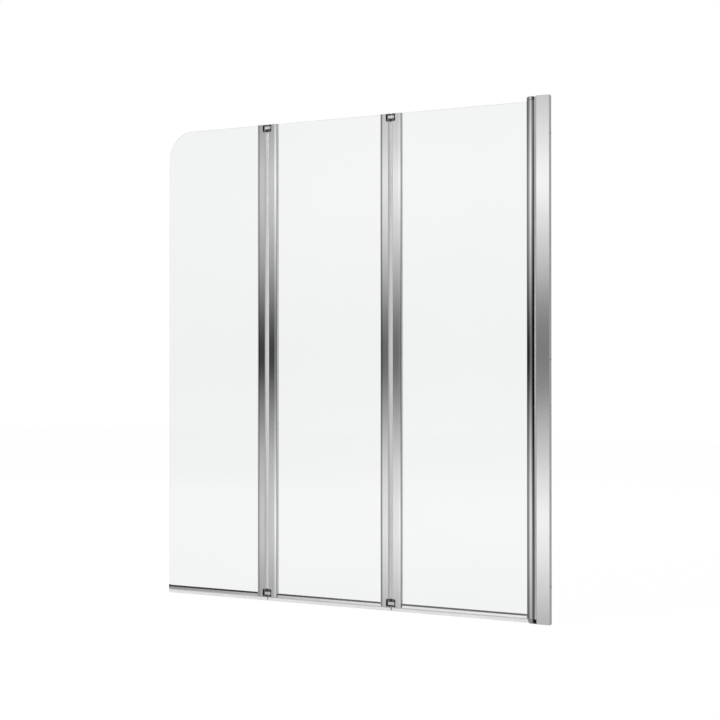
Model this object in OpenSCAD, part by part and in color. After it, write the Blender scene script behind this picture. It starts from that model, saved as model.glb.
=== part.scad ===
// Folding bath screen: three panes of clear glass on a wall channel.
// The wall is the plane x = 0 and the screen runs along -X from it, seen from -Y.
// z = 0 is the foot of the wall channel, which stands at the level of the bath's rim.
// Each fold is a column of two profiles on a double-pin link, so that the panes fold flat onto each other.

/* [Overall] */
// Length of the screen from the wall to the free edge of the glass
screen_w = 1200; // [1100:10:1400]
// Height of the wall channel
screen_h = 1400; // [1200:10:1500]
// Distance from the wall to the middle of the inner fold column
inner_fold = 461; // [440:1:480]
// Distance from the wall to the middle of the outer fold column
outer_fold = 857; // [836:1:876]

/* [Glass] */
// Thickness of the panes
glass_t = 6; // [5:0.5:6]
// How far the top edge of the glass lies below the top of the wall channel
glass_drop = 13; // [12.5:0.5:25]
// Height of the bottom edge of the glass above the foot
glass_foot = 13.8; // [13.8:0.2:16]
// Radius of the free top corner
corner_r = 80; // [20:5:200]

/* [Fold columns] */
// Width of a whole column across both of its profiles
column_w = 63; // [62:1:74]
// Thickness of the panel profiles from front to back
profile_t = 17; // [17:0.2:17.4]
// Wall thickness of the panel profiles
profile_wall = 1.4; // [1.2:0.1:1.5]
// Width of the sloping shoulder next to the glass
shoulder_w = 7.5; // [5:0.5:8]
// How far the shoulder falls away from the flat face
shoulder_drop = 1.8; // [1:0.1:2]
// Depth to which a fold profile takes the glass
pocket_depth = 13.6; // [10:0.2:13.6]
// Height of the foot of the columns
column_foot = 13.5; // [13.3:0.1:13.7]
// Thickness of the glazing gasket beside the glass
gasket_t = 1.2; // [0.8:0.1:1.4]
// How far the lip of the gasket stands out of the profile
gasket_lip = 0.8; // [0.6:0.1:1.5]

/* [Fold links] */
// Distance between the two pins of a link
pin_pitch = 18; // [18:0.1:18.4]
// Radius of the link pins
pin_r = 2.2; // [1.8:0.1:2.6]
// Height of the window at each end of a column
window_h = 22; // [20:0.5:30]
// Width of that window
window_w = 28.8; // [28.8:0.1:29.4]
// Radius of the corners of that window
window_corner = 4; // [1:0.5:5]
// Height of a link bar
link_h = 8.4; // [6:0.2:9]
// Thickness of a link bar from front to back
link_t = 10.2; // [8:0.2:10.2]
// Distance from the end of the column to the link bar
link_inset = 4.6; // [4:0.2:6]
// Thickness of the washers above and below a link bar
washer_t = 0.8; // [0.5:0.1:1]
// Radius of those washers
washer_r = 4.4; // [3.6:0.1:4.8]
// Thickness of the soft nose of a profile
nose_t = 1.3; // [1:0.1:1.3]
// How far a knuckle keeps its full thickness past the pin
knuckle_reach = 1.2; // [1:0.1:1.6]
// Thickness of the neck between a knuckle and its profile
neck_t = 9.2; // [9:0.2:10.2]
// Length of the leg that plugs a hinge block into its profile
block_leg = 26; // [15:1:40]

/* [Bottom seal] */
// Top of the lips of the seal
seal_top = 24.8; // [22:0.2:30]
// Height of the lips
seal_lip_h = 6.3; // [3:0.1:6.5]
// Thickness of the seal beside the glass
seal_t = 1.4; // [1:0.1:1.5]
// Thickness of the rail that carries the fins
rail_t = 2.5; // [2:0.1:3]
// Height of the tip of the fins above the foot
fin_tip = 1.3; // [1:0.1:3]
// Thickness of a fin
fin_t = 1.1; // [0.8:0.1:1.4]

/* [Wall channel] */
// Width of the channel from the wall to its open side
channel_w = 36.6; // [32:0.2:37]
// Thickness of the channel from front to back
channel_t = 19; // [19:0.1:19.4]
// Wall thickness of the two sides
channel_wall = 1.5; // [1.2:0.1:1.5]
// Radius of the two open edges of the channel
channel_edge = 1.4; // [0.4:0.1:1.5]
// Thickness of the web against the wall
channel_web = 2; // [1.5:0.1:3]
// Radius of the screw holes in the web
screw_hole_r = 2.75; // [2:0.05:3.5]
// Distance from the middle screw hole to the other two
screw_pitch = 600; // [400:10:620]
// Radius of the screws that clamp the jamb in the channel
clamp_r = 2; // [1.5:0.1:2.5]
// Distance from the wall to those screws
clamp_reach = 20; // [18:0.5:22]
// Distance from the middle clamp screw to the other two
clamp_pitch = 450; // [300:10:560]

/* [Jamb and pivot] */
// Distance from the wall to the free face of the jamb
jamb_reach = 41.4; // [41.2:0.1:42]
// Depth of the jamb along the screen
jamb_w = 29.4; // [26:0.2:30]
// Wall thickness of the jamb
jamb_wall = 1.4; // [1.2:0.1:1.6]
// Distance from the free face of the jamb to its inner web
jamb_web = 12; // [11:0.2:13]
// Height of the foot of the jamb
jamb_foot = 12.4; // [12.2:0.1:13]
// Distance from the free face of the jamb to the plugs of the brackets
plug_inset = 3.2; // [3:0.1:3.6]
// Thickness of the cap over the jamb
top_cap_t = 1.6; // [1:0.2:2]
// Thickness of the black seal on the jamb
jamb_seal_t = 2; // [1:0.1:2]
// Distance from the wall to the pivot axis
pivot_reach = 52.3; // [52.3:0.1:52.8]
// Width of the pivot profile
pivot_w = 15.7; // [15.7:0.1:17]
// How far the pivot profile reaches from the pivot axis towards the wall
pivot_nose = 4.5; // [4.3:0.1:4.8]
// Width of the sloping shoulder of the pivot profile
pivot_shoulder_w = 13; // [11.5:0.5:13.5]
// How far that shoulder falls away from the flat face
pivot_shoulder_drop = 3; // [2:0.1:3]
// Thickness of the two legs that hold the black strip on that nose
strip_leg_t = 1; // [0.8:0.1:1.2]
// Depth of those legs
strip_leg_l = 1.8; // [1:0.1:2.2]
// Radius of the pivot pins
pivot_pin_r = 2.6; // [2:0.1:2.8]
// Radius of the bore of the pivot profile
pivot_bore_r = 4.1; // [3.9:0.05:4.15]
// Radius of the boss that carries the pivot profile
boss_r = 7.8; // [7:0.1:8]
// Length of a pivot bush inside its profile
bush_len = 14; // [10:1:30]
// Thickness of the flange of a pivot bush
flange_t = 0.8; // [0.6:0.1:1.2]
// Height of the cap over the top pivot
cap_h = 8.4; // [7:0.1:9]
// How far the top of that cap falls away towards the glass
cap_crown = 3; // [1:0.5:3]

/* [Clearances] */
// Radial clearance between a pin and the bore that it turns in
running_gap = 0.05; // [0.02:0.01:0.1]
// Clearance round a piece that is plugged or slid into another
slide_gap = 0.2; // [0.1:0.05:0.2]
// Half of the gap between the two noses of a column
nose_gap = 0.3; // [0.3:0.05:0.4]
// Gap between the end of a seal and what stands beside it
end_gap = 0.3; // [0.3:0.1:1]

/* [Hidden] */
$fn = 64;

// Colours of the finishes
chrome_colour = [0.80, 0.81, 0.82];
steel_colour = [0.62, 0.63, 0.65];
glass_colour = [0.86, 0.93, 0.90, 0.35];
nylon_colour = [0.10, 0.10, 0.11];
grey_colour = [0.55, 0.56, 0.57];
soft_colour = [0.78, 0.79, 0.80];
lip_colour = [0.25, 0.26, 0.27];

// Slack that lets a cut run past the face it cuts
cut = 1;

// Levels
glass_top = screen_h - glass_drop;
column_top = glass_top;
column_h = column_top - column_foot;
clip_top = seal_top - seal_lip_h;
rail_top = glass_foot - seal_t;
rail_foot = rail_top - rail_t;

// Fold columns, seen from the middle of the column outwards
half_t = profile_t / 2;
half_w = column_w / 2;
pin_at = pin_pitch / 2;
nose_r = pin_at - nose_gap;
plate_at = pin_at - sqrt(nose_r * nose_r - half_t * half_t);
inside_t = half_t - profile_wall;
pocket_t = glass_t / 2 + gasket_t;
pocket_end = half_w - pocket_depth - gasket_t;
glass_at = pocket_end + gasket_t;
chamber_end = pocket_end - profile_wall;
web_at = pin_at + 0.8;
chamber_at = web_at + profile_wall;
window_half = window_w / 2;
link_r = link_t / 2;
slot_gap = washer_t + running_gap;

// Wall side
channel_half = channel_t / 2;
channel_inside = channel_half - channel_wall;
jamb_half = channel_inside - slide_gap;
jamb_inside = jamb_half - jamb_wall;
jamb_front = -jamb_reach;
jamb_back = jamb_front + jamb_w;
jamb_web_at = jamb_front + jamb_web;
jamb_top = screen_h - top_cap_t - 1;
pivot_x = -pivot_reach;
pivot_right = pivot_x + pivot_nose;
pivot_left = pivot_right - pivot_w;
pivot_half = half_t;
strip_leg_at = (pivot_bore_r + pivot_half) / 2 - strip_leg_t / 2;
pivot_foot = 11.9;
pivot_top = column_top + 3;
pivot_pocket_end = pivot_x - pivot_bore_r - 1;
pivot_glass = pivot_pocket_end - gasket_t / 2;
boss_foot = 0.2;
boss_top = pivot_foot - flange_t - running_gap;
cap_foot = pivot_top + flange_t + running_gap;
tongue_half = 4.5;
tongue_h = 4.8;
plug_at = jamb_front + plug_inset;
plug_end = jamb_web_at - slide_gap;
plug_len = 18;
clamp_x = -clamp_reach;
clamp_levels = [for (i = [-1, 0, 1]) screen_h / 2 + i * clamp_pitch];
screw_levels = [for (i = [-1, 0, 1]) screen_h / 2 + i * screw_pitch];

// Runs of the bottom seal
inner_run = [-inner_fold + half_w + gasket_lip + end_gap, pivot_left - gasket_lip - end_gap];
middle_run = [-outer_fold + half_w + gasket_lip + end_gap, -inner_fold - half_w - gasket_lip - end_gap];
seal_cap_t = 1.4;
outer_run = [-screen_w + seal_cap_t, -outer_fold - half_w - gasket_lip - end_gap];
fin_half = seal_t + glass_t / 2 - 0.2;
fin_end = pin_at - sqrt(nose_r * nose_r - fin_half * fin_half) + nose_gap;

// Puts its children at the two ends of a fold column, z running from the end into the column
module at_column_ends() {
    translate([0, 0, column_foot]) children();
    translate([0, 0, column_top]) mirror([0, 0, 1]) children();
}

// Plan of a profile between two places, a rectangle whose outer shoulders are rounded off
module shoulder_outline(from, to, width, drop) {
    bend = (width * width + drop * drop) / (2 * drop);
    union() {
        translate([from, -half_t]) square([to - width - from, profile_t]);
        intersection() {
            translate([to - width - cut, -half_t]) square([width + cut, profile_t]);
            translate([to - width, half_t - bend]) circle(bend, $fn = 128);
            translate([to - width, bend - half_t]) circle(bend, $fn = 128);
        }
    }
}

// Plan of an extruded fold profile: nose slot, block chamber, side cavities and glass pocket
module hinge_profile_plan() {
    cavity_at = pocket_end + profile_wall;
    difference() {
        shoulder_outline(plate_at, half_w, shoulder_w, shoulder_drop);
        translate([plate_at - cut, -inside_t]) square([web_at - plate_at + cut, 2 * inside_t]);
        translate([chamber_at, -inside_t]) square([chamber_end - chamber_at, 2 * inside_t]);
        translate([pocket_end, -pocket_t]) square([half_w - pocket_end + cut, 2 * pocket_t]);
        for (side = [-1, 1])
            translate([cavity_at, side * (pocket_t + inside_t + profile_wall) / 2 - 0.65])
                square([half_w - shoulder_w - cavity_at, 1.3]);
    }
}

// Front view of half a window, a slot with rounded corners that breaks through the end of the profile
module window_outline() {
    straight = window_half - window_corner;
    foot = -window_corner / 2;
    union() {
        translate([-cut, foot]) square([straight + cut, window_h - foot]);
        translate([0, foot + window_corner]) square([window_half, window_h - foot - 2 * window_corner]);
        for (level = [foot + window_corner, window_h - window_corner])
            translate([straight, level]) circle(window_corner);
    }
}

module hinge_profile() {
    difference() {
        translate([0, 0, column_foot]) linear_extrude(column_h) hinge_profile_plan();
        at_column_ends()
            translate([0, profile_t, 0]) rotate([90, 0, 0]) linear_extrude(2 * profile_t) window_outline();
    }
}

// Soft nose that closes the column between its two profiles, hooked into the profile's slot
module nose_seal() {
    foot_y = inside_t - 0.1;
    translate([0, 0, column_foot + window_h]) linear_extrude(column_h - 2 * window_h) union() {
        intersection() {
            translate([pin_at, 0]) difference() {
                circle(nose_r, $fn = 128);
                circle(nose_r - nose_t, $fn = 128);
            }
            translate([0, -profile_t]) square([plate_at, 2 * profile_t]);
        }
        for (side = [-1, 1])
            translate([plate_at - 1.6, side * foot_y - (side > 0 ? nose_t : 0)])
                square([web_at - plate_at + 1.5, nose_t]);
    }
}

// Nylon hinge block: two knuckles about the pin, a neck, and a leg plugged into the profile's chamber
module hinge_block() {
    block_half = inside_t - 0.1;
    block_end = chamber_end - 0.1;
    knuckle_r = nose_r - 0.2;
    knuckle_h = window_h - slide_gap;
    neck_at = pin_at + knuckle_reach;
    neck_end = window_half + 0.1;
    difference() {
        union() {
            intersection() {
                translate([pin_at, 0, 0]) cylinder(r = knuckle_r, h = knuckle_h, $fn = 128);
                translate([0, -profile_t, 0]) cube([block_end, 2 * profile_t, window_h]);
            }
            translate([pin_at, -block_half, 0]) cube([block_end - pin_at, 2 * block_half, window_h]);
            translate([chamber_at + 0.1, -block_half, window_h - cut])
                cube([block_end - chamber_at - 0.1, 2 * block_half, block_leg + cut]);
        }
        translate([-cut, -profile_t, link_inset - slot_gap])
            cube([neck_end + cut, 2 * profile_t, link_h + 2 * slot_gap]);
        for (side = [-1, 1])
            translate([neck_at, side * (neck_t / 2 + half_t) - half_t, -cut])
                cube([neck_end - neck_at, profile_t, knuckle_h - profile_wall + cut]);
        translate([pin_at, 0, -cut]) cylinder(r = pin_r + running_gap, h = window_h + 2 * cut);
    }
}

module link_bar() {
    difference() {
        union() {
            for (side = [-1, 1])
                translate([side * pin_at, 0, link_inset]) cylinder(r = link_r, h = link_h);
            translate([-pin_at, -link_r, link_inset]) cube([pin_pitch, link_t, link_h]);
        }
        for (side = [-1, 1])
            translate([side * pin_at, 0, link_inset - cut]) cylinder(r = pin_r, h = link_h + 2 * cut);
    }
}

module link_bars(at) {
    translate([-at, 0, 0]) at_column_ends() link_bar();
}

module link_pins(at) {
    translate([-at, 0, 0]) at_column_ends() for (side = [-1, 1])
        translate([side * pin_at, 0, 0.8]) cylinder(r = pin_r, h = window_h - 1.2);
}

module link_washers(at) {
    translate([-at, 0, 0]) at_column_ends() for (side = [-1, 1])
        for (level = [link_inset - washer_t, link_inset + link_h])
            translate([side * pin_at, 0, level]) difference() {
                cylinder(r = washer_r, h = washer_t);
                translate([0, 0, -cut]) cylinder(r = pin_r, h = washer_t + 2 * cut);
            }
}

// Gasket of a glazed edge: a channel round the edge of the glass with a lip at the mouth
module edge_gasket(seat, mouth, foot, top, base_t) {
    translate([0, 0, foot]) linear_extrude(top - foot) difference() {
        union() {
            translate([seat, -pocket_t]) square([mouth + gasket_lip - seat, 2 * pocket_t]);
            translate([mouth, -pocket_t - 0.4]) square([gasket_lip, 2 * pocket_t + 0.8]);
        }
        translate([seat + base_t, -glass_t / 2]) square([mouth - seat + gasket_lip + cut, glass_t]);
    }
}

module fold_gasket() {
    edge_gasket(pocket_end, half_w, glass_foot, column_top, gasket_t);
}

module pane(left, right) {
    translate([left, -glass_t / 2, glass_foot]) cube([right - left, glass_t, glass_top - glass_foot]);
}

// Lips, clip and fins of the bottom seal between two places along the screen
module seal_lips(run) {
    for (side = [-1, 1])
        translate([run[0], side * (glass_t + seal_t) / 2 - seal_t / 2, clip_top])
            cube([run[1] - run[0], seal_t, seal_lip_h]);
}

module seal_clip(run) {
    clip_half = glass_t / 2 + seal_t;
    difference() {
        translate([run[0], -clip_half, rail_top])
            cube([run[1] - run[0], 2 * clip_half, clip_top - rail_top]);
        translate([run[0] - cut, -glass_t / 2, glass_foot])
            cube([run[1] - run[0] + 2 * cut, glass_t, clip_top - glass_foot + cut]);
    }
}

module seal_fins(run) {
    fin_inset = 0.9;
    fin_h = rail_foot + rail_t / 2 - fin_tip;
    translate([run[0], 0, 0]) rotate([90, 0, 90]) linear_extrude(run[1] - run[0]) union() {
        translate([-fin_half, rail_foot]) square([2 * fin_half, rail_t]);
        for (side = [-1, 1])
            translate([side * (fin_half - fin_inset) - fin_t / 2, fin_tip]) square([fin_t, fin_h]);
        translate([-fin_t / 4, rail_foot - 0.6 * fin_h]) square([fin_t / 2, 0.6 * fin_h + rail_t / 2]);
    }
}

// Wall channel: a U that opens along the screen, screwed through its web
module wall_channel() {
    color(chrome_colour) difference() {
        linear_extrude(screen_h) difference() {
            union() {
                translate([-channel_w + channel_edge, -channel_half])
                    square([channel_w - channel_edge, channel_t]);
                translate([-channel_w, -channel_half + channel_edge])
                    square([channel_edge + cut, channel_t - 2 * channel_edge]);
                for (side = [-1, 1])
                    translate([-channel_w + channel_edge, side * (channel_half - channel_edge)])
                        circle(channel_edge);
            }
            translate([-channel_w - cut, -channel_inside])
                square([channel_w - channel_web + cut, 2 * channel_inside]);
        }
        for (level = screw_levels)
            translate([-channel_web - cut, 0, level]) rotate([0, 90, 0])
                cylinder(r = screw_hole_r, h = channel_web + 2 * cut);
        for (level = clamp_levels)
            translate([clamp_x, channel_inside - cut, level]) rotate([-90, 0, 0])
                cylinder(r = clamp_r + running_gap, h = channel_wall + 2 * cut);
    }
}

module channel_top_cap() {
    color(grey_colour) translate([jamb_front, -jamb_half, jamb_top])
        cube([jamb_reach - channel_web - slide_gap, 2 * jamb_half, top_cap_t]);
}

module jamb_profile() {
    groove_half = 1.5;
    color(chrome_colour) difference() {
        translate([0, 0, jamb_foot]) linear_extrude(jamb_top - jamb_foot) difference() {
            translate([jamb_front, -jamb_half]) square([jamb_w, 2 * jamb_half]);
            translate([jamb_front + jamb_wall, -jamb_inside])
                square([jamb_web_at - jamb_front - jamb_wall, 2 * jamb_inside]);
            translate([jamb_web_at + jamb_wall, -jamb_inside])
                square([jamb_back - jamb_web_at, 2 * jamb_inside]);
            translate([jamb_front - cut, -groove_half]) square([jamb_wall + 2 * cut, 2 * groove_half]);
        }
        translate([jamb_front - cut, -tongue_half - slide_gap, cap_foot - slide_gap])
            cube([jamb_wall + 2 * cut, 2 * tongue_half + 2 * slide_gap, screen_h]);
        for (level = clamp_levels)
            translate([clamp_x, jamb_inside - cut, level]) rotate([-90, 0, 0])
                cylinder(r = clamp_r + running_gap, h = jamb_wall + 2 * cut);
    }
}

// Black seal of the pivot gap, hooked into the groove of the jamb
module jamb_seal() {
    seal_half = 6;
    neck_half = 1.4;
    color(nylon_colour) translate([0, 0, jamb_foot]) linear_extrude(pivot_top - jamb_foot) union() {
        translate([jamb_front - jamb_seal_t, -seal_half]) square([jamb_seal_t, 2 * seal_half]);
        translate([jamb_front - 0.1, -neck_half]) square([jamb_wall + 0.3, 2 * neck_half]);
        translate([jamb_front + jamb_wall + 0.1, -2 * neck_half]) square([1.2, 4 * neck_half]);
    }
}

// Plan of the tongue that holds a pivot pin
module tongue_plan(reach) {
    union() {
        translate([pivot_x, 0]) circle(tongue_half);
        translate([pivot_x, -tongue_half]) square([reach - pivot_x, 2 * tongue_half]);
    }
}

module top_bracket() {
    tongue_top = cap_foot + tongue_h;
    color(nylon_colour) difference() {
        union() {
            translate([0, 0, cap_foot]) linear_extrude(tongue_h) tongue_plan(plug_at + cut);
            translate([plug_at, -jamb_inside + slide_gap, jamb_top - plug_len])
                cube([plug_end - plug_at, 2 * (jamb_inside - slide_gap), plug_len]);
        }
        translate([pivot_x, 0, cap_foot - cut]) cylinder(r = pivot_pin_r + running_gap, h = tongue_top);
    }
}

// Cap over the top pivot, with the outline of the profile that turns under it
module top_pivot_cap() {
    crown_w = pivot_x - pivot_left;
    crown_bend = (crown_w * crown_w + cap_crown * cap_crown) / (2 * cap_crown);
    color(chrome_colour) difference() {
        intersection() {
            translate([0, 0, cap_foot]) linear_extrude(cap_h) pivot_outline();
            union() {
                translate([pivot_x, pivot_half + cut, cap_foot + cap_h - crown_bend]) rotate([90, 0, 0])
                    cylinder(r = crown_bend, h = 2 * pivot_half + 2 * cut, $fn = 128);
                translate([pivot_x, -pivot_half - cut, cap_foot - cut])
                    cube([pivot_w, 2 * pivot_half + 2 * cut, cap_h + cut]);
            }
        }
        tongue_pocket();
        translate([0, 0, cap_foot - cut]) linear_extrude(cap_h + 2 * cut) strip_legs(running_gap);
    }
}

// Room for the tongue of the top bracket in what stands over the pivot
module tongue_pocket() {
    pocket_half = tongue_half + 0.1;
    translate([0, 0, cap_foot - cut]) linear_extrude(tongue_h + cut + 0.1) union() {
        translate([pivot_x, 0]) circle(pocket_half);
        translate([pivot_x, -pocket_half]) square([pivot_w, 2 * pocket_half]);
    }
}

// Black strip on the nose of that cap, in line with the one on the profile
module cap_nose_strip() {
    color(nylon_colour) difference() {
        translate([0, 0, cap_foot]) linear_extrude(cap_h) nose_strip_plan();
        tongue_pocket();
    }
}

// Foot bracket: plug in the jamb, plate under it and an arm that carries the boss
module bottom_bracket() {
    arm_half = 5.5;
    color(nylon_colour) difference() {
        union() {
            translate([plug_at, -jamb_inside + slide_gap, jamb_foot - cut])
                cube([plug_end - plug_at, 2 * (jamb_inside - slide_gap), plug_len + cut]);
            translate([jamb_front, -jamb_half, boss_foot])
                cube([jamb_w, 2 * jamb_half, jamb_foot - boss_foot]);
            difference() {
                translate([pivot_x, -arm_half, boss_foot])
                    cube([jamb_front - pivot_x + cut, 2 * arm_half, boss_top - boss_foot]);
                translate([pivot_x, 0, boss_foot - cut]) cylinder(r = boss_r + 0.1, h = jamb_foot + cut);
            }
            translate([0, 0, boss_foot + 2.5]) linear_extrude(tongue_h) tongue_plan(jamb_front + cut);
        }
        translate([pivot_x, 0, boss_foot]) cylinder(r = pivot_pin_r + running_gap, h = jamb_foot);
    }
}

module bottom_pivot_boss() {
    color(grey_colour) difference() {
        translate([pivot_x, 0, boss_foot]) cylinder(r = boss_r, h = boss_top - boss_foot);
        translate([0, 0, boss_foot + 2.4]) linear_extrude(tongue_h + 0.2)
            union() {
                translate([pivot_x, 0]) circle(tongue_half + 0.1);
                translate([pivot_x, -tongue_half - 0.1]) square([2 * boss_r, 2 * tongue_half + 0.2]);
            }
        translate([pivot_x, 0, boss_foot - cut]) cylinder(r = pivot_pin_r + running_gap, h = jamb_foot);
    }
}

module pivot_pins() {
    pin_grip = 2;
    color(steel_colour) union() {
        translate([pivot_x, 0, boss_foot + 1])
            cylinder(r = pivot_pin_r, h = bush_len + pivot_foot - pin_grip);
        translate([pivot_x, 0, pivot_top - bush_len + pin_grip])
            cylinder(r = pivot_pin_r, h = cap_foot + tongue_h - pivot_top + bush_len - pin_grip);
    }
}

module clamp_screws() {
    grip = clamp_r;
    head_r = 2 * clamp_r;
    head_h = 0.8 * clamp_r;
    key_r = 0.7 * clamp_r;
    key_floor = head_h / 4;
    color(steel_colour) for (level = clamp_levels)
        translate([clamp_x, 0, level]) rotate([-90, 0, 0]) difference() {
            union() {
                translate([0, 0, jamb_inside - grip])
                    cylinder(r = clamp_r, h = channel_half - jamb_inside + grip);
                translate([0, 0, channel_half]) cylinder(r = head_r, h = head_h);
            }
            translate([0, 0, channel_half + key_floor]) cylinder(r = key_r, h = head_h, $fn = 6);
        }
}

// Plan of the pivot profile's outline: a shoulder beside the glass and a nose that swings clear of the jamb
module pivot_outline() {
    intersection() {
        union() {
            translate([pivot_left, -pivot_half]) square([pivot_x - pivot_left, 2 * pivot_half]);
            translate([pivot_x, 0]) circle(pivot_half, $fn = 128);
        }
        mirror([1, 0])
            shoulder_outline(-pivot_right, -pivot_left, pivot_shoulder_w, pivot_shoulder_drop);
    }
}

module pivot_profile() {
    color(chrome_colour) translate([0, 0, pivot_foot]) linear_extrude(pivot_top - pivot_foot) difference() {
        pivot_outline();
        translate([pivot_x, 0]) circle(pivot_bore_r);
        translate([pivot_left - cut, -pocket_t]) square([pivot_pocket_end - pivot_left + cut, 2 * pocket_t]);
        strip_legs(running_gap);
    }
}

// Plan of the legs of the nose strip, or of their grooves in the profile with a little slack
module strip_legs(slack) {
    for (side = [-1, 1])
        translate([pivot_right - strip_leg_l - slack, side * strip_leg_at - strip_leg_t / 2 - slack])
            square([strip_leg_l + slack + cut, strip_leg_t + 2 * slack]);
}

// Plan of the strip that rounds off the nose of the pivot profile about the pivot axis
module nose_strip_plan() {
    union() {
        intersection() {
            translate([pivot_x, 0]) circle(pivot_half, $fn = 128);
            translate([pivot_right, -pivot_half]) square([pivot_half, 2 * pivot_half]);
        }
        strip_legs(0);
    }
}

module pivot_nose_strip() {
    color(nylon_colour)
        translate([0, 0, pivot_foot]) linear_extrude(pivot_top - pivot_foot) nose_strip_plan();
}

module pivot_bush() {
    difference() {
        union() {
            cylinder(r = pivot_bore_r - running_gap, h = bush_len);
            translate([0, 0, -flange_t]) cylinder(r = boss_r, h = flange_t);
        }
        translate([0, 0, -flange_t - cut])
            cylinder(r = pivot_pin_r + running_gap, h = bush_len + flange_t + 2 * cut);
    }
}

module pivot_bushes() {
    color(nylon_colour) union() {
        translate([pivot_x, 0, pivot_foot]) pivot_bush();
        translate([pivot_x, 0, pivot_top]) mirror([0, 0, 1]) pivot_bush();
    }
}

// Inner panel, between the pivot and the inner fold
module inner_glass() {
    color(glass_colour) pane(-inner_fold + glass_at, pivot_glass);
}

module inner_gaskets() {
    color(lip_colour) union() {
        translate([-inner_fold, 0, 0]) fold_gasket();
        mirror([1, 0, 0])
            edge_gasket(-pivot_pocket_end, -pivot_left, glass_foot, column_top, gasket_t / 2);
    }
}

module inner_hinge_profile() {
    color(chrome_colour) translate([-inner_fold, 0, 0]) hinge_profile();
}

module inner_hinge_blocks() {
    color(nylon_colour) translate([-inner_fold, 0, 0]) at_column_ends() hinge_block();
}

module inner_nose_seal() {
    color(soft_colour) translate([-inner_fold, 0, 0]) nose_seal();
}

module inner_seal_lips() {
    color(lip_colour) seal_lips(inner_run);
}

module inner_seal_clip() {
    color(soft_colour) seal_clip(inner_run);
}

module inner_seal_fins() {
    color(soft_colour) seal_fins([-inner_fold + fin_end, pivot_x - boss_r - 2 * end_gap]);
}

module inner_link_bars() {
    color(chrome_colour) link_bars(inner_fold);
}

module inner_link_pins() {
    color(steel_colour) link_pins(inner_fold);
}

module inner_link_washers() {
    color(nylon_colour) link_washers(inner_fold);
}

// Middle panel, between the two folds
module middle_glass() {
    color(glass_colour) pane(-outer_fold + glass_at, -inner_fold - glass_at);
}

module middle_gaskets() {
    color(lip_colour) union() {
        translate([-outer_fold, 0, 0]) fold_gasket();
        translate([-inner_fold, 0, 0]) mirror([1, 0, 0]) fold_gasket();
    }
}

module middle_wallside_profile() {
    color(chrome_colour) translate([-inner_fold, 0, 0]) mirror([1, 0, 0]) hinge_profile();
}

module middle_wallside_blocks() {
    color(nylon_colour) translate([-inner_fold, 0, 0]) mirror([1, 0, 0]) at_column_ends() hinge_block();
}

module middle_wallside_nose() {
    color(soft_colour) translate([-inner_fold, 0, 0]) mirror([1, 0, 0]) nose_seal();
}

module middle_freeside_profile() {
    color(chrome_colour) translate([-outer_fold, 0, 0]) hinge_profile();
}

module middle_freeside_blocks() {
    color(nylon_colour) translate([-outer_fold, 0, 0]) at_column_ends() hinge_block();
}

module middle_freeside_nose() {
    color(soft_colour) translate([-outer_fold, 0, 0]) nose_seal();
}

module middle_seal_lips() {
    color(lip_colour) seal_lips(middle_run);
}

module middle_seal_clip() {
    color(soft_colour) seal_clip(middle_run);
}

module middle_seal_fins() {
    color(soft_colour) seal_fins([-outer_fold + fin_end, -inner_fold - fin_end]);
}

module outer_link_bars() {
    color(chrome_colour) link_bars(outer_fold);
}

module outer_link_pins() {
    color(steel_colour) link_pins(outer_fold);
}

module outer_link_washers() {
    color(nylon_colour) link_washers(outer_fold);
}

// Outer panel: the free pane with its rounded top corner
module outer_glass() {
    right = -outer_fold - glass_at;
    color(glass_colour) translate([0, glass_t / 2, 0]) rotate([90, 0, 0]) linear_extrude(glass_t) union() {
        translate([-screen_w, glass_foot]) square([right + screen_w, glass_top - corner_r - glass_foot]);
        translate([-screen_w + corner_r, glass_foot])
            square([right + screen_w - corner_r, glass_top - glass_foot]);
        translate([-screen_w + corner_r, glass_top - corner_r]) circle(corner_r, $fn = 128);
    }
}

module outer_gasket() {
    color(lip_colour) translate([-outer_fold, 0, 0]) mirror([1, 0, 0]) fold_gasket();
}

module outer_hinge_profile() {
    color(chrome_colour) translate([-outer_fold, 0, 0]) mirror([1, 0, 0]) hinge_profile();
}

module outer_hinge_blocks() {
    color(nylon_colour) translate([-outer_fold, 0, 0]) mirror([1, 0, 0]) at_column_ends() hinge_block();
}

module outer_nose_seal() {
    color(soft_colour) translate([-outer_fold, 0, 0]) mirror([1, 0, 0]) nose_seal();
}

module outer_seal_lips() {
    color(lip_colour) seal_lips(outer_run);
}

module outer_seal_clip() {
    color(soft_colour) seal_clip(outer_run);
}

module outer_seal_fins() {
    color(soft_colour) seal_fins([outer_run[0], -outer_fold - fin_end]);
}

// End cap that closes the free end of the bottom seal, slotted for the glass
module outer_seal_end_cap() {
    cap_half = glass_t / 2 + seal_t;
    color(grey_colour) difference() {
        translate([-screen_w, -cap_half, fin_tip]) cube([seal_cap_t, 2 * cap_half, seal_top - fin_tip]);
        translate([-screen_w - cut, -glass_t / 2, glass_foot])
            cube([seal_cap_t + 2 * cut, glass_t, seal_top]);
    }
}

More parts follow.
